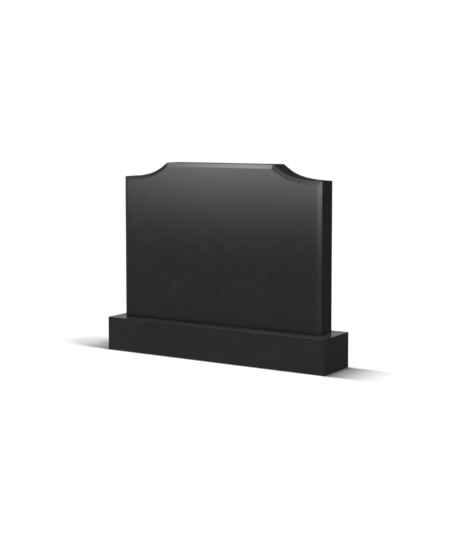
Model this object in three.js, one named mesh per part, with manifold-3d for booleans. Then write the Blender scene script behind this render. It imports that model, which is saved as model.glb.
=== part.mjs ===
// Headstone: an upright granite slab with scooped shoulders, standing on a plain plinth.
// Millimetres. X runs along the length, the front faces -Y and Z is up.
// The origin is the middle of the plinth's underside.
import * as THREE from "three";
import { mergeVertices } from "three/addons/utils/BufferGeometryUtils.js";
import Module from "manifold-3d";

// Slab: its overall sizes
const slabWidth = 1000;
const slabHeight = 700;
const slabThickness = 100;

// Scoops: how far each one reaches in from the side, and how far it falls from the straight top
const scoopRun = 230;
const scoopDrop = 65;

// Scoop curve: the handle at the shoulder and the one at the top corner, as shares of run and drop
const shoulderHandle = { run: 0.68, drop: 0.05 };
const topHandle = { run: 0.2, drop: 0.5 };

// Bevel round the front: its width across the face, and how deep it cuts into the thickness
const bevelWidth = 18;
const bevelDepth = 10;

// Length of the short straights that follow a scoop, kept long enough for the bevel's inner line
const scoopStep = bevelWidth * 0.65;

// Eased edges round the slab's back and round the plinth
const slabArris = 1.5;
const plinthArris = 2;

// Plinth: its height, and how far it stands out past the slab at the ends, front and back
const plinthHeight = 150;
const endMargin = 50;
const frontMargin = 57.5;
const backMargin = 57.5;

// Bed joint between the plinth's top and the slab's foot
const bedJoint = 0.3;

// How far a form is drawn past a face that a cut then makes
const overrun = 20;

const plinthLength = slabWidth + 2 * endMargin;
const plinthDepth = frontMargin + slabThickness + backMargin;
const slabFront = frontMargin - plinthDepth / 2;
const slabBack = slabFront + slabThickness;
const slabFoot = plinthHeight + bedJoint;
const slabTop = slabFoot + slabHeight;

// Polished black granite, one material for each piece
const slabMaterial = new THREE.MeshStandardMaterial({ color: 0x2b2b2d, roughness: 0.2, metalness: 0 });
const plinthMaterial = new THREE.MeshStandardMaterial({ color: 0x272729, roughness: 0.2, metalness: 0 });

const wasm = await Module();
wasm.setup();

// A closed three.js geometry as a solid that can be cut
function toSolid(geometry) {
  const bare = geometry.clone();
  bare.deleteAttribute("normal");
  bare.deleteAttribute("uv");
  const merged = mergeVertices(bare);
  return new wasm.Manifold(new wasm.Mesh({
    numProp: 3,
    vertProperties: Float32Array.from(merged.attributes.position.array),
    triVerts: Uint32Array.from(merged.index.array),
  }));
}

function toGeometry(solid) {
  const mesh = solid.getMesh();
  const geometry = new THREE.BufferGeometry();
  geometry.setAttribute("position", new THREE.BufferAttribute(mesh.vertProperties, 3));
  geometry.setIndex(new THREE.BufferAttribute(mesh.triVerts, 1));
  geometry.computeVertexNormals();
  return geometry;
}

// The right-hand scoop seen from the front, from the shoulder up to the top corner.
// Its first straight is longer than the bevel is wide, which keeps the mitre at the shoulder clean.
function scoopPoints() {
  const side = slabWidth / 2;
  const corner = side - scoopRun;
  const shoulder = slabTop - scoopDrop;
  const curve = new THREE.CubicBezierCurve(
    new THREE.Vector2(side, shoulder),
    new THREE.Vector2(side - shoulderHandle.run * scoopRun, shoulder + shoulderHandle.drop * scoopDrop),
    new THREE.Vector2(corner + topHandle.run * scoopRun, slabTop - topHandle.drop * scoopDrop),
    new THREE.Vector2(corner, slabTop),
  );
  const points = curve.getSpacedPoints(Math.round(curve.getLength() / scoopStep));
  return points.filter((point, place) => place === 0 || point.x < side - bevelWidth);
}

// The slab seen from the front, drawn past its foot, where a cut makes the flat underside
function slabOutline() {
  const drawnFoot = slabFoot - overrun;
  const rightSide = [new THREE.Vector2(slabWidth / 2, drawnFoot), ...scoopPoints()];
  const leftSide = rightSide.map((point) => new THREE.Vector2(-point.x, point.y)).reverse();
  return new THREE.Shape([...rightSide, ...leftSide]);
}

// The outline carried through from front to back, with both of its rims cut away by an inset
function slabForm(front, back, inset, depth) {
  const geometry = new THREE.ExtrudeGeometry(slabOutline(), {
    depth: back - front - 2 * depth,
    bevelEnabled: true,
    bevelSegments: 1,
    bevelSize: inset,
    bevelThickness: depth,
    bevelOffset: -inset,
  });
  geometry.rotateX(Math.PI / 2);
  geometry.translate(0, back - depth, 0);
  return toSolid(geometry);
}

// The slab is what its beveled front, its eased back and a cut along its foot have in common
function slabGeometry() {
  const beveledFront = slabForm(slabFront, slabBack + bevelDepth + overrun, bevelWidth, bevelDepth);
  const easedBack = slabForm(slabFront - slabArris - overrun, slabBack, slabArris, slabArris);
  const reach = slabHeight + overrun;
  const aboveFoot = new THREE.BoxGeometry(slabWidth + 2 * overrun, plinthDepth + 4 * overrun, reach);
  aboveFoot.translate(0, 0, slabFoot + reach / 2);
  return toGeometry(beveledFront.intersect(easedBack).intersect(toSolid(aboveFoot)));
}

// The plinth is a block whose upright corners and rims are eased
function plinthGeometry() {
  const x = plinthLength / 2;
  const y = plinthDepth / 2;
  const plan = new THREE.Shape([
    [-x + plinthArris, -y], [x - plinthArris, -y], [x, -y + plinthArris], [x, y - plinthArris],
    [x - plinthArris, y], [-x + plinthArris, y], [-x, y - plinthArris], [-x, -y + plinthArris],
  ].map(([px, py]) => new THREE.Vector2(px, py)));
  const geometry = new THREE.ExtrudeGeometry(plan, {
    depth: plinthHeight - 2 * plinthArris,
    bevelEnabled: true,
    bevelSegments: 1,
    bevelSize: plinthArris,
    bevelThickness: plinthArris,
    bevelOffset: -plinthArris,
  });
  geometry.translate(0, 0, plinthArris);
  return toGeometry(toSolid(geometry));
}

function piece(name, geometry, material) {
  const mesh = new THREE.Mesh(geometry, material);
  mesh.name = name;
  return mesh;
}

const headstone = new THREE.Group();
headstone.add(piece("plinth", plinthGeometry(), plinthMaterial));
headstone.add(piece("headstone_slab", slabGeometry(), slabMaterial));

export default headstone;
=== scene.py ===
"""Polished black granite headstone: a slab with scooped shoulders, standing on a plain plinth."""

import math

import bmesh
import bpy
from bpy.props import FloatProperty, FloatVectorProperty, IntProperty, PointerProperty
from bpy.types import Operator, Panel, PropertyGroup
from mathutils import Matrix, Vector


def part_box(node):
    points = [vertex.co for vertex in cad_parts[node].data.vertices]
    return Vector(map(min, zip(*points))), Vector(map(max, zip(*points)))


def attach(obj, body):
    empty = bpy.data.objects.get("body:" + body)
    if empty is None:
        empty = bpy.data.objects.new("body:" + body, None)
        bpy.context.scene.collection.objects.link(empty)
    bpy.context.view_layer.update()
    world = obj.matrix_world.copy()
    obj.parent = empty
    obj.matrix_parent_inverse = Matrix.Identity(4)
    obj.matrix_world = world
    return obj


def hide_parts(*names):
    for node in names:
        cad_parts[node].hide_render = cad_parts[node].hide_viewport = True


bl_info = {
    "name": "Scooped Headstone",
    "version": (1, 0, 0),
    "blender": (4, 5, 0),
    "location": "3D View > Sidebar > Headstone",
    "description": "Finishes a granite slab and its plinth, and sets up the studio round them",
    "category": "Add Mesh",
}

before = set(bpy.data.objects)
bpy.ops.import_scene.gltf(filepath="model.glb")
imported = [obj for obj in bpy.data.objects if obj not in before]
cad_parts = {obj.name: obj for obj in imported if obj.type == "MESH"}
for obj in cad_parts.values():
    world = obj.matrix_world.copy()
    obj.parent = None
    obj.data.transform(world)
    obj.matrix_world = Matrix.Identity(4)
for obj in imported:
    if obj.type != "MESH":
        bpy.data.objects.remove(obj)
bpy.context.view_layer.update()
SLAB_LOW, SLAB_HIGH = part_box("headstone_slab")
PLINTH_LOW, PLINTH_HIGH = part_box("plinth")
BODY = "root"
MM = 0.001
TOUCH = 0.1 * MM

# Scoop curve: its handles at the shoulder and at the top corner, as shares of the scoop's run and drop
SHOULDER_RUN, SHOULDER_DROP = 0.68, 0.05
TOP_RUN, TOP_DROP = 0.2, 0.5

SCOOP_RESOLUTION = 256

# How far along the scoop its first step ends, in bevel widths, which keeps the shoulder's mitre clean
CLEAR_OF_MITRE = 1.35

# How far the rim's flat ends run on past their rounding, in arris radii
RIM_LEAD = 2.5

# Points closer than this become one
WELD = 0.01 * MM

# Edges turned by more than this stay crisp
CRISP_ANGLE = math.radians(14)

# A face looks along an axis when its normal has at least this much of it
FACING = 0.98

# Grain, in widths of a dark crystal, and the slow drift of shade, in clouds
WARP_SCALE, WARP_REACH = 0.6, 0.8
FINE_CRYSTAL = 0.45
DRIFT_SIZE = 6

# Laths: their slimness, how many cells hold one, where their edge fades, and the ways they lie
LATH_SLIMNESS = 3.2
LATH_SHARE = 0.34
LATH_EDGE = (0.30, 0.42)
LATH_TURNS = ((0.3, 0.2, 0.1), (1.1, -0.7, 0.9), (-0.8, 1.2, 2.0))

# How the grain's random numbers become shades: from low and high to two amounts
DARK_BLEND = (0.25, 0.9, 0, 1)
FINE_BLEND = (0.8, 1.0, 0, 0.3)
LATH_BLEND = (0.0, 1.0, 0.05, 0.55)
CLOUD_SHADE = (0.3, 0.7, 0.8, 1.22)
DRIFT_SHADE = (0.35, 0.65, 0.92, 1.08)
DEEP_SHADE = 0.35

# Gloss: how it drifts with the clouds, and the few fine crystals that glint
CLOUD_RANGE = (0.3, 0.7)
DULLEST, GLOSSIEST = 1.04, 0.97
GLINT_PICK, GLINT_GLOSS = 0.965, 0.35
GRANITE_IOR = 1.54

# Relief of the polished grain and of the sawn underside
LATH_RELIEF, CRYSTAL_RELIEF = 0.35, 0.25
POLISHED_DEPTH = 0.004 * MM
SAWN_DEPTH = 0.12 * MM
SAWN_PITS = 0.7 * MM
SAW_STRETCH = (6.0, 900.0, 6.0)


def slab_measures():
    """The scoop's and the bevel's sizes, read off the frame's slab."""
    points = [vertex.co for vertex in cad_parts["headstone_slab"].data.vertices]
    side = [p for p in points if p.x > SLAB_HIGH.x - TOUCH]
    corner = max(p.x for p in points if p.z > SLAB_HIGH.z - TOUCH)
    face = max(p.x for p in points if p.y < SLAB_LOW.y + TOUCH)
    return {
        "scoop_run": SLAB_HIGH.x - corner,
        "scoop_drop": SLAB_HIGH.z - max(p.z for p in side),
        "bevel_width": SLAB_HIGH.x - face,
        "bevel_depth": min(p.y for p in side) - SLAB_LOW.y,
    }


MEASURES = slab_measures()


class Wiring:
    """Adds nodes to a tree and joins them, so that a formula reads in the order it is worked out."""

    def __init__(self, tree):
        self.tree = tree

    def node(self, kind, values=None, **settings):
        made = self.tree.nodes.new(kind)
        for name, value in settings.items():
            setattr(made, name, value)
        for socket, value in (values or {}).items():
            self.feed(made.inputs[socket], value)
        return made

    def feed(self, socket, value):
        if isinstance(value, bpy.types.NodeSocket):
            self.tree.links.new(value, socket)
        else:
            socket.default_value = value

    def math(self, operation, *values, clamp=False):
        made = self.node("ShaderNodeMath", dict(enumerate(values)), operation=operation, use_clamp=clamp)
        return made.outputs[0]

    def whole(self, operation, *values):
        made = self.node("FunctionNodeIntegerMath", dict(enumerate(values)), operation=operation)
        return made.outputs[0]

    def vector_math(self, operation, *values, result=0):
        made = self.node("ShaderNodeVectorMath", operation=operation)
        for place, value in enumerate(values):
            self.feed(made.inputs[place], value)
        return made.outputs[result]

    def scaled(self, vector, factor):
        made = self.node("ShaderNodeVectorMath", {0: vector, "Scale": factor}, operation="SCALE")
        return made.outputs[0]

    def join(self, x, y, z):
        return self.node("ShaderNodeCombineXYZ", {0: x, 1: y, 2: z}).outputs[0]

    def split(self, vector):
        return self.node("ShaderNodeSeparateXYZ", {0: vector}).outputs

    def sample(self, geometry, value, index):
        made = self.node("GeometryNodeSampleIndex", data_type="FLOAT_VECTOR", domain="POINT", clamp=True)
        self.feed(made.inputs["Geometry"], geometry)
        self.feed(made.inputs["Value"], value)
        self.feed(made.inputs["Index"], index)
        return made.outputs[0]

    def choose(self, test, no, yes, kind="VECTOR"):
        made = self.node("GeometryNodeSwitch", {0: test, 1: no, 2: yes}, input_type=kind)
        return made.outputs[0]

    def compare(self, operation, a, b):
        made = self.node("FunctionNodeCompare", {0: a, 1: b}, data_type="FLOAT", operation=operation)
        return made.outputs[0]

    def equal(self, a, b):
        made = self.node("FunctionNodeCompare", data_type="INT", operation="EQUAL")
        self.feed(made.inputs[2], a)
        self.feed(made.inputs[3], b)
        return made.outputs[0]

    def spread(self, value, low, high, to_low, to_high, smooth=False):
        kind = "SMOOTHSTEP" if smooth else "LINEAR"
        made = self.node("ShaderNodeMapRange", interpolation_type=kind, clamp=True)
        for place, given in enumerate((value, low, high, to_low, to_high)):
            self.feed(made.inputs[place], given)
        return made.outputs[0]

    def blend_colour(self, factor, a, b):
        made = self.node("ShaderNodeMix", data_type="RGBA")
        self.feed(made.inputs[0], factor)
        self.feed(made.inputs[6], a)
        self.feed(made.inputs[7], b)
        return made.outputs[2]


def new_length(name, about, value, least=0):
    """A length property in metres."""
    return FloatProperty(
        name=name, description=about, default=value, min=least, subtype="DISTANCE", unit="LENGTH")


def new_amount(name, about, value):
    """A property for a strength or a size that is never negative."""
    return FloatProperty(name=name, description=about, default=value, min=0)


def new_share(name, about, value):
    """A property from nought to one."""
    return FloatProperty(name=name, description=about, default=value, min=0, max=1)


def new_angle(name, about, value):
    """An angle property, given in degrees."""
    return FloatProperty(name=name, description=about, default=math.radians(value), subtype="ANGLE")


def new_count(name, about, value, low, high):
    """A property for a number of steps."""
    return IntProperty(name=name, description=about, default=value, min=low, max=high)


def new_colour(name, about, value):
    """A colour property."""
    return FloatVectorProperty(
        name=name, description=about, default=value, size=3, min=0, max=1, subtype="COLOR")


class SlabSettings(PropertyGroup):
    """The slab's sizes, read off the frame's slab, and how finely it is made"""

    scoop_run: new_length("Scoop Run", "How far each scoop reaches in from the side", MEASURES["scoop_run"])
    scoop_drop: new_length(
        "Scoop Drop", "How far each shoulder lies below the straight top", MEASURES["scoop_drop"])
    bevel_width: new_length("Bevel Width", "Width of the bevel across the face", MEASURES["bevel_width"])
    bevel_depth: new_length("Bevel Depth", "How deep the bevel cuts into the side", MEASURES["bevel_depth"])
    arris: new_length("Arris Radius", "Rounding of the polished edges", 1.2 * MM)
    scoop_steps: new_count("Scoop Steps", "Facets along each scoop", 24, 6, 28)
    arris_steps: new_count("Arris Steps", "Facets round each edge", 8, 1, 12)


class PlinthSettings(PropertyGroup):
    """How the plinth's edges are eased"""

    arris: new_length("Arris Radius", "Rounding of the top and the upright edges", 0.9 * MM)
    foot_arris: new_length("Foot Arris", "Rounding of the edges that meet the ground", 0.6 * MM)
    arris_steps: new_count("Arris Steps", "Facets round each edge", 8, 1, 12)


class GraniteSettings(PropertyGroup):
    """The black granite's grain, colours and polish"""

    crystal: new_length("Crystal Size", "Width of the dark crystals", 1.1 * MM)
    lath: new_length("Lath Length", "Length of the grey feldspar laths", 1.6 * MM)
    cloud: new_length("Cloud Size", "Size of the faint paler and darker patches", 42 * MM)
    ground: new_colour("Ground", "Colour of the dark crystals", (0.0078, 0.0078, 0.0081))
    feldspar: new_colour("Feldspar", "Colour of the palest crystals", (0.052, 0.053, 0.055))
    polish: new_share("Polish", "Roughness of the polished faces", 0.2)


class StudioSettings(PropertyGroup):
    """The camera, the lights and what the polish mirrors"""

    eye: FloatVectorProperty(
        name="Eye", description="Where the camera stands", default=(2.7736, -4.3753, 1.0167),
        size=3, subtype="TRANSLATION", unit="LENGTH")
    turn: new_angle("Turn", "How far the camera is turned left of straight ahead", 32.148)
    dip: new_angle("Dip", "How far the camera looks down", 4.319)
    lens: FloatProperty(name="Lens", description="Focal length in millimetres", default=80.34, min=1)
    rise: FloatProperty(
        name="Rise", description="Upward shift of the frame, as a share of its long side", default=-0.1)
    left_light: new_amount("Left Light", "Strength of the light on the stone's left", 2.0)
    right_light: new_amount("Right Light", "Strength of the light on the stone's right", 2.0)
    back_light: new_amount("Back Light", "Strength of the light on the stone's back", 2.5)
    top_light: new_amount("Top Light", "Strength of the light on the stone's top", 1.2)
    ledge_light: new_amount("Ledge Light", "Strength of the light on the plinth's top", 7.7)
    shadow_left: new_length("Left Shadow", "Length of the plinth's shadow on the left", 0.31, 0.01)
    shadow_right: new_length("Right Shadow", "Length of the plinth's shadow on the right", 0.22, 0.01)
    shadow_share: new_share("Shadow Share", "Share of the floor's light that the shadows take away", 0.875)
    floor_top: new_share("Floor Top", "Share of the floor's light that comes from above", 0.055)
    ambient: new_amount("Ambient", "Brightness of the room's soft light", 0.12)
    front_high: new_amount("Front High", "Mirrored brightness high in front", 0.8)
    back_high: new_amount("Back High", "Mirrored brightness high at the back", 0.05)
    front_low: new_amount("Front Low", "Mirrored brightness below the horizon in front", 0.36)
    back_low: new_amount("Back Low", "Mirrored brightness below the horizon at the back", 0.06)
    front_panel: new_amount("Front Panel", "How strongly the front panel brightens upwards", 12.2)
    key_panel: new_amount("Key Panel", "Brightness of the small panel high on the left", 5.15)
    back_panel: new_amount("Back Panel", "Brightness of the low panel behind the stone", 0.43)


def settings(group):
    return getattr(bpy.context.scene, group)


def link_group(name, *things):
    """A named set of objects that lights refer to."""
    group = bpy.data.collections.new(name)
    for thing in things:
        group.objects.link(thing)


def add_object(name, data):
    thing = bpy.data.objects.new(name, data)
    bpy.context.scene.collection.objects.link(thing)
    return thing


# Granite

def voronoi_tone(wiring, place, size):
    """A random number for each crystal of a size."""
    cells = wiring.node("ShaderNodeTexVoronoi", {"Vector": place, "Scale": 1 / size})
    return wiring.split(cells.outputs["Color"])[0]


def noise(wiring, place, size, detail=2.0):
    made = wiring.node("ShaderNodeTexNoise", {"Vector": place, "Scale": 1 / size, "Detail": detail})
    return made.outputs["Fac"]


def laths(wiring, place, long, turn):
    """A mask of slim crystals that lie along one turned axis."""
    turned = wiring.node("ShaderNodeMapping", {
        "Vector": place, "Rotation": turn, "Scale": (1, LATH_SLIMNESS, LATH_SLIMNESS)})
    cells = wiring.node("ShaderNodeTexVoronoi", {"Vector": turned.outputs[0], "Scale": 1 / long})
    pick = wiring.split(cells.outputs["Color"])[1]
    core = wiring.spread(cells.outputs["Distance"], *LATH_EDGE, 1, 0)
    return wiring.math("MULTIPLY", core, wiring.math("GREATER_THAN", pick, 1 - LATH_SHARE))


def granite(name, roughness, haze=0.0, saw=0.0):
    """Black granite under one finish: haze greys it as honing does, and saw leaves saw marks."""
    stone = settings("headstone_granite")
    material = bpy.data.materials.new(name)
    material.use_nodes = True
    tree = material.node_tree
    tree.nodes.clear()
    wiring = Wiring(tree)
    place = wiring.node("ShaderNodeTexCoord").outputs["Object"]
    warp = wiring.node("ShaderNodeTexNoise", {
        "Vector": place, "Scale": WARP_SCALE / stone.crystal, "Detail": 1.0})
    bend = wiring.scaled(warp.outputs["Color"], stone.crystal * WARP_REACH)
    grain_place = wiring.vector_math("ADD", place, bend)

    crystal = voronoi_tone(wiring, grain_place, stone.crystal)
    fine = voronoi_tone(wiring, grain_place, stone.crystal * FINE_CRYSTAL)
    grey = 0.0
    for turn in LATH_TURNS:
        grey = wiring.math("MAXIMUM", grey, laths(wiring, grain_place, stone.lath, turn))
    cloud = noise(wiring, place, stone.cloud, 4.0)
    drift = noise(wiring, place, stone.cloud * DRIFT_SIZE)

    black = tuple(stone.ground) + (1.0,)
    pale = tuple(stone.feldspar) + (1.0,)
    deep = tuple(value * DEEP_SHADE for value in stone.ground) + (1.0,)
    base = wiring.blend_colour(wiring.spread(crystal, *DARK_BLEND), deep, black)
    base = wiring.blend_colour(wiring.spread(fine, *FINE_BLEND), base, pale)
    lath_amount = wiring.math("MULTIPLY", grey, wiring.spread(crystal, *LATH_BLEND))
    base = wiring.blend_colour(lath_amount, base, pale)
    shade = wiring.math("MULTIPLY", wiring.spread(cloud, *CLOUD_SHADE), wiring.spread(drift, *DRIFT_SHADE))
    base = wiring.scaled(base, shade)
    if haze:
        base = wiring.blend_colour(haze, base, pale)

    glint = wiring.math("GREATER_THAN", fine, GLINT_PICK)
    dull = wiring.spread(cloud, *CLOUD_RANGE, roughness * GLOSSIEST, roughness * DULLEST)
    rough = wiring.math("SUBTRACT", dull, wiring.math("MULTIPLY", glint, roughness * GLINT_GLOSS))

    relief = wiring.math("MULTIPLY", grey, LATH_RELIEF)
    relief = wiring.math("ADD", relief, wiring.math("MULTIPLY", crystal, CRYSTAL_RELIEF))
    depth = POLISHED_DEPTH
    if saw:
        across = wiring.node("ShaderNodeTexNoise", {
            "Vector": wiring.vector_math("MULTIPLY", place, SAW_STRETCH), "Scale": 1.0, "Detail": 3.0})
        pits = noise(wiring, place, SAWN_PITS, 3.0)
        relief = wiring.math("ADD", wiring.math("MULTIPLY", across.outputs["Fac"], saw), pits)
        depth = SAWN_DEPTH
    bump = wiring.node("ShaderNodeBump", {"Height": relief, "Strength": 1.0, "Distance": depth})

    surface = wiring.node("ShaderNodeBsdfPrincipled", {
        "Base Color": base,
        "Roughness": rough,
        "IOR": GRANITE_IOR,
        "Normal": bump.outputs[0],
    })
    output = wiring.node("ShaderNodeOutputMaterial")
    tree.links.new(surface.outputs[0], output.inputs["Surface"])
    return material


def finishes():
    """The polished, honed and sawn granite, made once."""
    made = bpy.data.materials
    if "polished_granite" not in made:
        granite("polished_granite", roughness=settings("headstone_granite").polish)
        granite("honed_granite", roughness=0.42, haze=0.3)
        granite("sawn_granite", roughness=0.75, haze=0.16, saw=1.0)
    return made["polished_granite"], made["honed_granite"], made["sawn_granite"]


def smooth_with_flat_faces(thing):
    """Rounded edges shade softly while the broad faces stay flat."""
    mesh = thing.data
    mesh.shade_smooth()
    mesh.set_sharp_from_angle(angle=CRISP_ANGLE)
    weigh = thing.modifiers.new("weigh", "WEIGHTED_NORMAL")
    weigh.mode = "FACE_AREA"
    weigh.weight = 100
    weigh.keep_sharp = True


def plain_mesh(thing, name):
    """Turns what an object's modifiers make into its own plain mesh."""
    graph = bpy.context.evaluated_depsgraph_get()
    mesh = bpy.data.meshes.new_from_object(thing.evaluated_get(graph))
    mesh.name = name
    thing.modifiers.clear()
    thing.data = mesh


def check_closed(thing):
    """Raises an error unless the piece is one closed shell with its faces pointing out."""
    shell = bmesh.new()
    shell.from_mesh(thing.data)
    open_edges = sum(not edge.is_manifold for edge in shell.edges)
    volume = shell.calc_volume(signed=True)
    shell.free()
    if open_edges or volume <= 0:
        raise RuntimeError(f"{thing.name}: {open_edges} open edges, volume {volume:.5f}")


# Slab

def scoop_curve(w, given):
    """The right-hand scoop in equal steps up to the top corner, from clear of the shoulder's mitre."""
    run, drop = given["Scoop Run"], given["Scoop Drop"]
    side = w.math("MULTIPLY", given["Width"], 0.5)
    corner = w.math("SUBTRACT", side, run)
    top = w.math("ADD", given["Foot"], given["Height"])
    shoulder = w.math("SUBTRACT", top, drop)
    curve = w.node("GeometryNodeCurvePrimitiveBezierSegment", {
        "Resolution": SCOOP_RESOLUTION,
        "Start": w.join(side, 0.0, shoulder),
        "Start Handle": w.join(
            w.math("SUBTRACT", side, w.math("MULTIPLY", run, SHOULDER_RUN)), 0.0,
            w.math("ADD", shoulder, w.math("MULTIPLY", drop, SHOULDER_DROP))),
        "End Handle": w.join(
            w.math("ADD", corner, w.math("MULTIPLY", run, TOP_RUN)), 0.0,
            w.math("SUBTRACT", top, w.math("MULTIPLY", drop, TOP_DROP))),
        "End": w.join(corner, 0.0, top),
    }, mode="POSITION")
    start = w.math("MULTIPLY", given["Bevel Width"], CLEAR_OF_MITRE)
    past_the_end = 10.0
    rest = w.node("GeometryNodeTrimCurve", {0: curve.outputs[0], 4: start, 5: past_the_end}, mode="LENGTH")
    steps = w.whole("ADD", given["Scoop Steps"], 1)
    return w.node("GeometryNodeResampleCurve", {
        "Curve": rest.outputs[0], "Count": steps}, mode="COUNT").outputs[0]


def inward_normal(w, a, b):
    """The direction into the stone from an edge that runs from a to b, with the stone on its left."""
    along = w.vector_math("NORMALIZE", w.vector_math("SUBTRACT", b, a))
    x, _, z = w.split(along)
    return w.join(w.math("MULTIPLY", z, -1.0), 0.0, x)


def half_outline(w, given):
    """The outline's right half as points: the foot, the shoulder's rounded corner, then the scoop.

    Each point keeps the direction of its inset and, at the shoulder, its offset from the sharp corner.
    """
    position = w.node("GeometryNodeInputPosition").outputs[0]
    index = w.node("GeometryNodeInputIndex").outputs[0]
    side = w.math("MULTIPLY", given["Width"], 0.5)
    top = w.math("ADD", given["Foot"], given["Height"])
    scoop_start = w.whole("ADD", given["Arris Steps"], 2)
    count = w.whole("ADD", w.whole("ADD", given["Scoop Steps"], 1), scoop_start)
    row = w.node("GeometryNodeMeshLine", {"Count": count}, mode="OFFSET").outputs[0]
    at_foot = w.equal(index, 0)
    on_scoop = w.sample(scoop_curve(w, given), position, w.whole("SUBTRACT", index, scoop_start))
    shoulder = w.join(side, 0.0, w.math("SUBTRACT", top, given["Scoop Drop"]))
    before_scoop = w.compare("LESS_THAN", index, scoop_start)
    placed = w.choose(before_scoop, on_scoop, shoulder)
    placed = w.choose(at_foot, placed, w.join(side, 0.0, given["Foot"]))
    row = w.node("GeometryNodeSetPosition", {"Geometry": row, "Position": placed}).outputs[0]

    before = w.choose(before_scoop, w.whole("SUBTRACT", index, 1), 0, "INT")
    after = w.whole("MAXIMUM", w.whole("ADD", index, 1), scoop_start)
    mirrored = w.vector_math("MULTIPLY", position, (-1.0, 1.0, 1.0))
    following = w.choose(w.equal(after, count), w.sample(row, position, after), mirrored)
    first = inward_normal(w, w.sample(row, position, before), position)
    second = inward_normal(w, position, following)
    total = w.vector_math("ADD", first, second)
    dot = w.vector_math("DOT_PRODUCT", first, second, result=1)
    mitre = w.scaled(total, w.math("DIVIDE", 1.0, w.math("ADD", 1.0, dot)))
    inset = w.choose(at_foot, mitre, (-1.0, 0.0, 0.0))

    share = w.math("DIVIDE", w.whole("SUBTRACT", index, 1), given["Arris Steps"])
    turn = w.math("MULTIPLY", share, math.pi / 2)
    back_x = w.math("MULTIPLY", given["Arris"], w.math("SUBTRACT", w.math("COSINE", turn), 1.0))
    back_z = w.math("MULTIPLY", given["Arris"], w.math("SUBTRACT", w.math("SINE", turn), 1.0))
    rounding = w.choose(before_scoop, (0.0, 0.0, 0.0), w.join(back_x, 0.0, back_z))
    rounding = w.choose(at_foot, rounding, (0.0, 0.0, 0.0))
    for name, value in (("inset", inset), ("rounding", rounding)):
        stored = w.node(
            "GeometryNodeStoreNamedAttribute", {"Name": name}, data_type="FLOAT_VECTOR", domain="POINT")
        w.feed(stored.inputs["Geometry"], row)
        w.feed(stored.inputs["Value"], value)
        row = stored.outputs[0]
    return row


def rim_profile(w, given):
    """A line from the front face over the bevel and the side to the back, with its corners rounded.

    Its x is the inset from the outline and its y the depth.
    """
    lead = w.math("MULTIPLY", given["Arris"], RIM_LEAD)
    bevel_end = w.math("ADD", given["Front"], given["Bevel Depth"])
    corners = (
        w.join(w.math("ADD", given["Bevel Width"], lead), given["Front"], 0.0),
        w.join(given["Bevel Width"], given["Front"], 0.0),
        w.join(0.0, bevel_end, 0.0),
        w.join(0.0, given["Back"], 0.0),
        w.join(lead, given["Back"], 0.0),
    )
    pick = w.node("GeometryNodeIndexSwitch", data_type="VECTOR")
    while len(pick.index_switch_items) < len(corners):
        pick.index_switch_items.new()
    w.feed(pick.inputs[0], w.node("GeometryNodeInputIndex").outputs[0])
    for place, corner in enumerate(corners):
        w.feed(pick.inputs[place + 1], corner)
    line = w.node("GeometryNodeMeshLine", {"Count": len(corners)}, mode="OFFSET").outputs[0]
    line = w.node("GeometryNodeSetPosition", {"Geometry": line, "Position": pick.outputs[0]}).outputs[0]
    curve = w.node("GeometryNodeMeshToCurve", {0: line}).outputs[0]
    return w.node("GeometryNodeFilletCurve", {
        "Curve": curve, "Count": given["Arris Steps"], "Radius": given["Arris"]}, mode="POLY").outputs[0]


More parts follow.
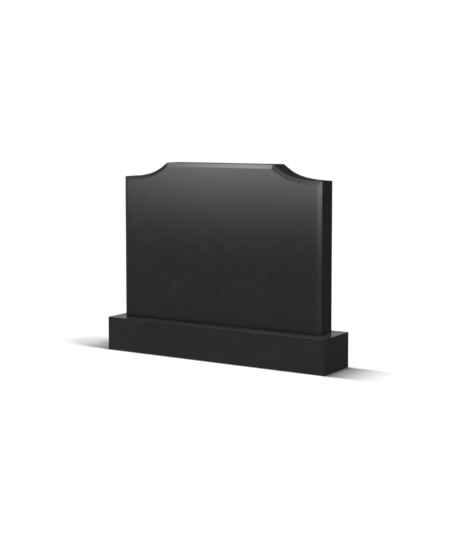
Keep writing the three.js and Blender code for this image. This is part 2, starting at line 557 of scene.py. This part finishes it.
def slab_tree():
    """Geometry nodes that carry the slab's outline round its rim profile and close it front and back."""
    tree = bpy.data.node_groups.new("Scooped Slab", "GeometryNodeTree")
    face = tree.interface
    for name in ("Width", "Height", "Foot", "Front", "Back", "Scoop Run", "Scoop Drop",
                 "Bevel Width", "Bevel Depth", "Arris"):
        face.new_socket(name, in_out="INPUT", socket_type="NodeSocketFloat").subtype = "DISTANCE"
    for name in ("Scoop Steps", "Arris Steps"):
        face.new_socket(name, in_out="INPUT", socket_type="NodeSocketInt")
    for name in ("Polished", "Honed", "Sawn"):
        face.new_socket(name, in_out="INPUT", socket_type="NodeSocketMaterial")
    face.new_socket("Slab", in_out="OUTPUT", socket_type="NodeSocketGeometry")
    w = Wiring(tree)
    given = w.node("NodeGroupInput").outputs
    position = w.node("GeometryNodeInputPosition").outputs[0]
    index = w.node("GeometryNodeInputIndex").outputs[0]

    half = half_outline(w, given)
    rim = rim_profile(w, given)
    half_count = w.whole("ADD", w.whole("ADD", given["Scoop Steps"], given["Arris Steps"]), 3)
    around = w.whole("MULTIPLY", half_count, 2)
    ring = w.node("GeometryNodeCurvePrimitiveCircle", {"Resolution": around}, mode="RADIUS").outputs[0]
    tube = w.node("GeometryNodeCurveToMesh", {
        "Curve": rim, "Profile Curve": ring, "Fill Caps": True}).outputs[0]

    step = w.whole("MODULO", index, around)
    level = w.whole("DIVIDE_FLOOR", index, around)
    back_step = w.whole("SUBTRACT", w.whole("SUBTRACT", around, 1), step)
    place = w.whole("MINIMUM", step, back_step)
    sign = w.choose(w.compare("LESS_THAN", step, back_step), -1.0, 1.0, "FLOAT")
    rim_x, rim_y, _ = w.split(w.sample(rim, position, level))
    kept = w.math("SUBTRACT", 1.0, w.math("DIVIDE", rim_x, given["Bevel Width"]), clamp=True)
    point = w.sample(half, position, place)
    for name, factor in (("inset", rim_x), ("rounding", kept)):
        stored = w.node("GeometryNodeInputNamedAttribute", {"Name": name}, data_type="FLOAT_VECTOR")
        offset = w.sample(half, stored.outputs[0], place)
        point = w.vector_math("ADD", point, w.scaled(offset, factor))
    x, _, z = w.split(point)
    shaped = w.node("GeometryNodeSetPosition", {
        "Geometry": tube, "Position": w.join(w.math("MULTIPLY", x, sign), rim_y, z)}).outputs[0]

    joined = w.node("GeometryNodeMergeByDistance", {"Geometry": shaped, "Distance": WELD}).outputs[0]
    outward = w.node("GeometryNodeFlipFaces", {0: joined}).outputs[0]
    solid = w.node("GeometryNodeRealizeInstances", {0: outward}).outputs[0]
    _, normal_y, normal_z = w.split(w.node("GeometryNodeInputNormal").outputs[0])
    for name, facing in (
        ("Polished", True),
        ("Honed", w.compare("GREATER_THAN", normal_y, FACING)),
        ("Sawn", w.compare("LESS_THAN", normal_z, -FACING)),
    ):
        solid = w.node("GeometryNodeSetMaterial", {
            "Geometry": solid, "Selection": facing, "Material": given[name]}).outputs[0]
    result = w.node("NodeGroupOutput")
    tree.links.new(solid, result.inputs[0])
    return tree


class HEADSTONE_OT_slab(Operator):
    """Make the upright slab with its scooped shoulders and beveled front"""

    bl_idname = "headstone.slab"
    bl_label = "Finish Slab"

    def execute(self, context):
        sizes = settings("headstone_slab")
        polished, honed, sawn = finishes()
        tree = slab_tree()
        slab = add_object("slab_finished", bpy.data.meshes.new("slab_start"))
        growth = slab.modifiers.new("slab", "NODES")
        growth.node_group = tree
        values = {
            "Width": SLAB_HIGH.x - SLAB_LOW.x,
            "Height": SLAB_HIGH.z - SLAB_LOW.z,
            "Foot": SLAB_LOW.z,
            "Front": SLAB_LOW.y,
            "Back": SLAB_HIGH.y,
            "Scoop Run": sizes.scoop_run,
            "Scoop Drop": sizes.scoop_drop,
            "Bevel Width": sizes.bevel_width,
            "Bevel Depth": sizes.bevel_depth,
            "Arris": sizes.arris,
            "Scoop Steps": sizes.scoop_steps,
            "Arris Steps": sizes.arris_steps,
            "Polished": polished,
            "Honed": honed,
            "Sawn": sawn,
        }
        for item in tree.interface.items_tree:
            if item.in_out == "INPUT":
                growth[item.identifier] = values[item.name]
        plain_mesh(slab, "slab_finished")
        smooth_with_flat_faces(slab)
        plain_mesh(slab, "slab_finished")
        check_closed(slab)
        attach(slab, BODY)
        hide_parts("headstone_slab")
        return {"FINISHED"}


# Plinth

class HEADSTONE_OT_plinth(Operator):
    """Make the plain rectangular plinth with its eased edges"""

    bl_idname = "headstone.plinth"
    bl_label = "Finish Plinth"

    def execute(self, context):
        sizes = settings("headstone_plinth")
        polished, _, sawn = finishes()
        low, high = PLINTH_LOW, PLINTH_HIGH
        block = bmesh.new()
        bmesh.ops.create_cube(block, size=1)
        for vertex in block.verts:
            for axis in range(3):
                vertex.co[axis] = high[axis] if vertex.co[axis] > 0 else low[axis]
        foot = [e for e in block.edges if all(v.co.z < low.z + MM for v in e.verts)]
        upper = [e for e in block.edges if e not in foot]
        bmesh.ops.bevel(block, geom=upper, offset=sizes.arris, segments=sizes.arris_steps,
                        profile=0.5, affect="EDGES")
        under = [f for f in block.faces if f.normal.z < -FACING]
        rim = [e for f in under for e in f.edges]
        bmesh.ops.bevel(block, geom=rim, offset=sizes.foot_arris, segments=sizes.arris_steps,
                        profile=0.5, affect="EDGES")
        block.normal_update()
        mesh = bpy.data.meshes.new("plinth_finished")
        for finish in (polished, sawn):
            mesh.materials.append(finish)
        for side in block.faces:
            side.material_index = 1 if side.normal.z < -FACING else 0
        block.to_mesh(mesh)
        block.free()
        plinth = add_object("plinth_finished", mesh)
        smooth_with_flat_faces(plinth)
        plain_mesh(plinth, "plinth_finished")
        check_closed(plinth)
        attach(plinth, BODY)
        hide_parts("plinth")
        return {"FINISHED"}


# Studio

STONE_LIGHT_SPREAD = math.radians(50)

# Ledge light: its turn to the right of the front, its height and its spread
LEDGE_LIGHT = (math.radians(90), math.radians(80), math.radians(10))

# The floor's graded lights: where each shadow ends, as a share of the longest, and the share of the light
SHADOW_LIGHTS = ((1.0, 0.15), (0.71, 0.2125), (0.49, 0.2125), (0.3, 0.2125), (0.1, 0.2125))

# How much of its gap to the next light the lowest light fills, which keeps the shadow's tip crisp
TIP_SOFTNESS = 0.4

# Which way the floor's graded lights stand, in degrees to the right of the front
LEFT_FAN, RIGHT_FAN = 86, -90

FLOOR_WHITE = 0.9
FLOOR_REACH = 40
CAMERA_REACH = 100


def side_change(start, end, before, after):
    """A change in brightness between two turns, given in degrees to the right of the front."""
    return math.radians(start), math.radians(end), before, after


# Front panel: its shape, then how its brightness changes upwards and sideways
PANEL_RADIUS, PANEL_TOP, PANEL_STEPS = 1.15, 1.3, 30
PANEL_LEFT, PANEL_RIGHT = math.radians(-66), math.radians(72)
PANEL_RISE = (0.3, 1.3, 0.0, 1.0)
PANEL_STEEPNESS = 2.3
PANEL_TOP_FALL = (0.95, 1.3, 1.0, 0.2)
PANEL_LEFT_SIDE = side_change(-58, -35, 0.56, 1.0)
PANEL_RIGHT_SIDE = side_change(4, 46, 1.04, 1.65)
PANEL_RIGHT_FOOT = side_change(4, 46, 1.0, 1.4)
PANEL_RIGHT_END = side_change(60, 70, 1.0, 0.3)
PANEL_LEFT_END = side_change(-66, -60, 0.5, 1.0)

# Key panel: where it stands from the slab's top, its half sizes and its brightness from left to right
KEY_SIDE, KEY_HEIGHT, KEY_DISTANCE = math.radians(-47), math.radians(44), 2.5
KEY_HALF_WIDTH, KEY_HALF_HEIGHT = 0.46, 0.32
KEY_LEFT, KEY_RIGHT = 0.3, 1.45

# Room: between which directions its brightness changes, from the front to the back and from low to high
ROOM_LOW_TURN = (-0.5, 0.3)
ROOM_HIGH_TURN = (-0.7, 0.08)
ROOM_CEILING = (0.55, 0.8, 0.85, 2.1)
ROOM_HORIZON = (0.02, 0.25)
BACKDROP_WHITE = 1.05


def direction(side, height):
    """The way to what stands at a turn to the right of the front and at an angle above the floor."""
    return Vector((
        math.sin(side) * math.cos(height), -math.cos(side) * math.cos(height), math.sin(height)))


def add_camera(studio):
    lens = bpy.data.cameras.new("camera")
    lens.lens = studio.lens
    lens.sensor_fit = "AUTO"
    lens.shift_y = studio.rise
    lens.clip_end = CAMERA_REACH
    camera = add_object("camera", lens)
    camera.location = studio.eye
    camera.rotation_euler = (math.pi / 2 - studio.dip, 0, studio.turn)
    bpy.context.scene.camera = camera


def add_floor():
    """Two white floor halves that meet under the middle, so that each can have lights of its own."""
    material = bpy.data.materials.new("white_floor")
    material.use_nodes = True
    surface = material.node_tree.nodes["Principled BSDF"]
    surface.inputs["Base Color"].default_value = (FLOOR_WHITE, FLOOR_WHITE, FLOOR_WHITE, 1)
    surface.inputs["Roughness"].default_value = 1.0
    surface.inputs["Specular IOR Level"].default_value = 0.0
    near, far = -FLOOR_REACH, FLOOR_REACH
    for name, start, end in (("floor_left", -FLOOR_REACH, 0), ("floor_right", 0, FLOOR_REACH)):
        mesh = bpy.data.meshes.new(name)
        corners = [(start, near, 0), (end, near, 0), (end, far, 0), (start, far, 0)]
        mesh.from_pydata(corners, [], [(0, 1, 2, 3)])
        mesh.materials.append(material)
        floor = add_object(name, mesh)
        floor.visible_glossy = False
        link_group(f"{name}_only", floor)


def add_sun(name, side, height, spread, strength):
    """A distant light: side is its angle to the right of the front, height its angle above the floor."""
    light = bpy.data.lights.new(name, "SUN")
    light.energy = strength
    light.angle = spread
    sun = add_object(name, light)
    sun.rotation_euler = direction(side, height).to_track_quat("Z", "Y").to_euler()
    sun.visible_glossy = False
    return sun


def add_stone_lights(studio):
    """Broad lights all round that reach only the stone, and a narrow one for the plinth's top."""
    for name, side, height, strength in (
        ("left_light", -90, 42, studio.left_light),
        ("right_light", 90, 42, studio.right_light),
        ("back_light", 180, 45, studio.back_light),
        ("top_light", 0, 80, studio.top_light),
    ):
        sun = add_sun(name, math.radians(side), math.radians(height), STONE_LIGHT_SPREAD, strength)
        sun.light_linking.receiver_collection = bpy.data.collections["stone"]
    ledge = add_sun("ledge_light", *LEDGE_LIGHT, studio.ledge_light)
    ledge.light_linking.receiver_collection = bpy.data.collections["plinth_only"]
    ledge.light_linking.blocker_collection = bpy.data.collections["plinth_only"]


def shadow_heights(length):
    """How high the lights stand whose shadows of the plinth end where they should."""
    return [math.atan2(PLINTH_HIGH.z, length * end) for end, _ in SHADOW_LIGHTS]


def add_floor_lights(studio):
    """For each half of the floor a fan of lights from the other side, and one light straight above.

    Only the plinth casts their shadows, so each shadow is straight and fades away from the stone.
    """
    full = math.pi / FLOOR_WHITE
    for half, side, length in (
        ("floor_left", LEFT_FAN, studio.shadow_left),
        ("floor_right", RIGHT_FAN, studio.shadow_right),
    ):
        heights = shadow_heights(length)
        gaps = [after - before for before, after in zip(heights, heights[1:] + [math.pi / 2])]
        gaps[0] *= TIP_SOFTNESS
        lights = [(height, gap, studio.shadow_share * share, side)
                  for height, gap, (_, share) in zip(heights, gaps, SHADOW_LIGHTS)]
        lights.append((math.pi / 2, gaps[-1], studio.floor_top, 0))
        for place, (height, gap, share, turn) in enumerate(lights):
            strength = full * share / math.sin(height)
            sun = add_sun(f"{half}_{place}", math.radians(turn), height, gap, strength)
            sun.light_linking.receiver_collection = bpy.data.collections[f"{half}_only"]
            sun.light_linking.blocker_collection = bpy.data.collections["plinth_only"]


def glow(name, make_strength):
    """A light-giving material whose strength is worked out from the place on the panel."""
    material = bpy.data.materials.new(name)
    material.use_nodes = True
    tree = material.node_tree
    tree.nodes.clear()
    wiring = Wiring(tree)
    place = wiring.node("ShaderNodeTexCoord").outputs["Object"]
    light = wiring.node("ShaderNodeEmission", {"Strength": make_strength(wiring, place)})
    output = wiring.node("ShaderNodeOutputMaterial")
    tree.links.new(light.outputs[0], output.inputs["Surface"])
    return material


def only_mirrored(panel):
    """The panel shows only in reflections."""
    panel.visible_camera = False
    panel.visible_diffuse = False
    panel.visible_shadow = False


def add_front_panel(studio):
    """A wide curved panel in front, as dim as the room's low part at its foot and brighter upwards."""
    rows = []
    for level in (0.0, PANEL_TOP):
        for step in range(PANEL_STEPS + 1):
            angle = PANEL_LEFT + (PANEL_RIGHT - PANEL_LEFT) * step / PANEL_STEPS
            rows.append((PANEL_RADIUS * math.sin(angle), -PANEL_RADIUS * math.cos(angle), level))
    above = PANEL_STEPS + 1
    faces = [(i, i + 1, i + 1 + above, i + above) for i in range(PANEL_STEPS)]
    mesh = bpy.data.meshes.new("front_panel")
    mesh.from_pydata(rows, [], faces)

    def strength(wiring, place):
        x, y, z = wiring.split(place)
        turn = wiring.math("ARCTAN2", x, wiring.math("MULTIPLY", y, -1.0))
        rise = wiring.spread(z, *PANEL_RISE)
        level = wiring.math("MULTIPLY", wiring.math("POWER", rise, PANEL_STEEPNESS), studio.front_panel)
        left_side = wiring.spread(turn, *PANEL_LEFT_SIDE)
        right_side = wiring.spread(turn, *PANEL_RIGHT_SIDE)
        fall = wiring.spread(z, *PANEL_TOP_FALL, smooth=True)
        for factor in (left_side, right_side, fall):
            level = wiring.math("MULTIPLY", level, factor)
        right_foot = wiring.spread(turn, *PANEL_RIGHT_FOOT)
        level = wiring.math("ADD", level, wiring.math("MULTIPLY", right_foot, studio.front_low))
        right_end = wiring.spread(turn, *PANEL_RIGHT_END, smooth=True)
        left_end = wiring.spread(turn, *PANEL_LEFT_END, smooth=True)
        for factor in (right_end, left_end):
            level = wiring.math("MULTIPLY", level, factor)
        return level

    mesh.materials.append(glow("front_panel", strength))
    only_mirrored(add_object("front_panel", mesh))


def add_key_panel(studio):
    """A small panel high on the left, which the slab's top bevel mirrors."""
    aim = Vector((0.0, SLAB_LOW.y, SLAB_HIGH.z))
    to_panel = direction(KEY_SIDE, KEY_HEIGHT)
    centre = aim + to_panel * KEY_DISTANCE
    across = Vector((math.cos(KEY_SIDE), math.sin(KEY_SIDE), 0))
    up = across.cross(-to_panel)
    corners = [centre + across * a * KEY_HALF_WIDTH + up * b * KEY_HALF_HEIGHT
               for a, b in ((-1, -1), (1, -1), (1, 1), (-1, 1))]
    mesh = bpy.data.meshes.new("key_panel")
    mesh.from_pydata(corners, [], [(0, 1, 2, 3)])

    def strength(wiring, place):
        x = wiring.split(place)[0]
        level = wiring.spread(x, corners[0].x, corners[1].x, KEY_LEFT, KEY_RIGHT)
        return wiring.math("MULTIPLY", level, studio.key_panel)

    mesh.materials.append(glow("key_panel", strength))
    only_mirrored(add_object("key_panel", mesh))


def add_back_panel(studio):
    """A low panel behind, which the plinth's top mirrors and the slab's top looks over."""
    left, right, away, foot, top = -1.9, 0.5, 1.0, 0.2, 0.56
    mesh = bpy.data.meshes.new("back_panel")
    corners = [(left, away, foot), (right, away, foot), (right, away, top), (left, away, top)]
    mesh.from_pydata(corners, [], [(0, 1, 2, 3)])
    mesh.materials.append(glow("back_panel", lambda wiring, place: studio.back_panel))
    only_mirrored(add_object("back_panel", mesh))


def add_world(studio):
    """A room that is brightest high in front, and plain white to the camera."""
    world = bpy.data.worlds.new("room")
    world.use_nodes = True
    tree = world.node_tree
    tree.nodes.clear()
    wiring = Wiring(tree)
    _, y, z = wiring.split(wiring.node("ShaderNodeTexCoord").outputs["Generated"])
    low = wiring.spread(y, *ROOM_LOW_TURN, studio.front_low, studio.back_low, smooth=True)
    high = wiring.spread(y, *ROOM_HIGH_TURN, studio.front_high, studio.back_high)
    high = wiring.math("MULTIPLY", high, wiring.spread(z, *ROOM_CEILING))
    room = wiring.spread(z, *ROOM_HORIZON, low, high, smooth=True)
    light_path = wiring.node("ShaderNodeLightPath").outputs
    strength = wiring.spread(light_path["Is Diffuse Ray"], 0.0, 1.0, room, studio.ambient)
    strength = wiring.spread(light_path["Is Camera Ray"], 0.0, 1.0, strength, BACKDROP_WHITE)
    background = wiring.node("ShaderNodeBackground", {"Color": (1, 1, 1, 1), "Strength": strength})
    output = wiring.node("ShaderNodeOutputWorld")
    tree.links.new(background.outputs[0], output.inputs["Surface"])
    bpy.context.scene.world = world


class HEADSTONE_OT_studio(Operator):
    """Set up the camera, the white floor and the lights"""

    bl_idname = "headstone.studio"
    bl_label = "Set Up Studio"

    def execute(self, context):
        studio = settings("headstone_studio")
        slab, plinth = bpy.data.objects["slab_finished"], bpy.data.objects["plinth_finished"]
        link_group("stone", slab, plinth)
        link_group("plinth_only", plinth)
        add_camera(studio)
        add_floor()
        add_stone_lights(studio)
        add_floor_lights(studio)
        add_front_panel(studio)
        add_key_panel(studio)
        add_back_panel(studio)
        add_world(studio)
        view = context.scene.view_settings
        view.view_transform = "Standard"
        view.look = "None"
        return {"FINISHED"}


class HEADSTONE_PT_workshop(Panel):
    """Sizes, stone and lights of the headstone, and the steps that make it"""

    bl_label = "Headstone"
    bl_space_type = "VIEW_3D"
    bl_region_type = "UI"
    bl_category = "Headstone"

    def draw(self, context):
        for title, group in GROUPS.items():
            box = self.layout.box()
            box.label(text=title)
            for key in getattr(context.scene, group).bl_rna.properties.keys():
                if key not in {"rna_type", "name"}:
                    box.prop(getattr(context.scene, group), key)
        for step in STEPS:
            self.layout.operator(step.bl_idname)


GROUPS = {
    "Slab": "headstone_slab",
    "Plinth": "headstone_plinth",
    "Granite": "headstone_granite",
    "Studio": "headstone_studio",
}
GROUP_TYPES = (SlabSettings, PlinthSettings, GraniteSettings, StudioSettings)
STEPS = (HEADSTONE_OT_slab, HEADSTONE_OT_plinth, HEADSTONE_OT_studio)


def register():
    for kind in (*GROUP_TYPES, *STEPS, HEADSTONE_PT_workshop):
        bpy.utils.register_class(kind)
    for group, kind in zip(GROUPS.values(), GROUP_TYPES):
        setattr(bpy.types.Scene, group, PointerProperty(type=kind))


def unregister():
    for group in GROUPS.values():
        delattr(bpy.types.Scene, group)
    for kind in reversed((*GROUP_TYPES, *STEPS, HEADSTONE_PT_workshop)):
        bpy.utils.unregister_class(kind)


def main():
    register()
    bpy.ops.headstone.slab()
    bpy.ops.headstone.plinth()
    bpy.ops.headstone.studio()


if __name__ == "__main__":
    main()
